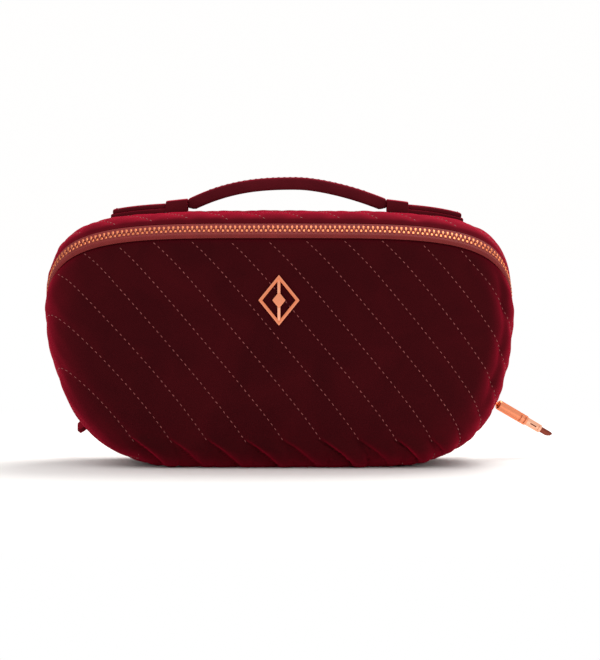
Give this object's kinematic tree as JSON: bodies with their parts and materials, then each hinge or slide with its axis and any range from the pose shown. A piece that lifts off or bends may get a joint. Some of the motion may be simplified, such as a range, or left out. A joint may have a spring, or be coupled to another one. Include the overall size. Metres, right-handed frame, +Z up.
{
  "type": "makeup bag",
  "caption": "Quilted velvet clamshell makeup bag with a metal zip, a strap handle on top and a lipstick-shaped zip pull, zipped shut.",
  "frame": {"origin": "middle of the flat underside that the bag stands on", "axes": "+X along the width, towards the side where the zip is closed; -Y out of the front panel; +Z up"},
  "size_m": [0.2655, 0.0857, 0.1483],
  "materials": {
    "velvet": "quilted velvet with a soft sheen",
    "strap_velvet": "short velvet strap cloth",
    "foam": "closed-cell foam sheet",
    "lining": "satin lining cloth",
    "zip_tape": "woven zip tape",
    "rose_gold": "polished rose gold plating",
    "pale_rose_gold": "pale rose gold plating",
    "copper": "dark copper plating"
  },
  "bodies": {
    "base": {"front_quilted_shell": "velvet", "front_stiffener": "foam", "front_lining": "lining", "front_seam_binding": "lining", "front_zip_tape": "zip_tape", "front_zip_teeth": "rose_gold", "emblem": "rose_gold", "emblem_backplate": "rose_gold", "hinge_strip": "lining", "zip_end_tab_left": "strap_velvet", "zip_end_tab_right": "strap_velvet", "zip_top_stop": "rose_gold", "zip_bottom_stop": "rose_gold", "slip_pocket": "lining", "pocket_binding": "strap_velvet"},
    "lid": {"back_quilted_shell": "velvet", "back_stiffener": "foam", "back_lining": "lining", "back_seam_binding": "lining", "back_zip_tape": "zip_tape", "back_zip_teeth": "rose_gold", "handle_patch_left": "strap_velvet", "handle_patch_right": "strap_velvet", "handle_end_left": "strap_velvet", "handle_end_right": "strap_velvet", "keeper_left": "strap_velvet", "keeper_right": "strap_velvet", "brush_band": "lining"},
    "handle": {"handle_strap": "strap_velvet", "handle_under_strap": "strap_velvet"},
    "slider": {"slider_body": "rose_gold", "slider_bridge": "rose_gold"},
    "pull": {"pull_eye": "rose_gold", "pull_case": "rose_gold", "pull_tube": "pale_rose_gold", "pull_bullet": "copper"}
  },
  "joints": [
    {"name": "lid_hinge", "type": "hinge", "parent": "base", "child": "lid", "pos_m": [0, 0.03786, 0.01322], "axis": [-1, 0, 0], "range_deg": [0, 90]},
    {"name": "handle_lean", "type": "hinge", "parent": "lid", "child": "handle", "pos_m": [0.004, 0.002, 0.1345], "axis": [1, 0, 0], "range_deg": [-20, 20]},
    {"name": "slider_run", "type": "hinge", "parent": "base", "child": "slider", "pos_m": [0.02267, 0.00046, 0.06947], "axis": [0, -0.8327, -0.5537], "range_deg": [0, 27.7]},
    {"name": "pull_swing", "type": "hinge", "parent": "slider", "child": "pull", "pos_m": [0.11059, 0.02587, 0.03126], "axis": [0, -0.8327, -0.5537], "range_deg": [-60, 75]}
  ]
}
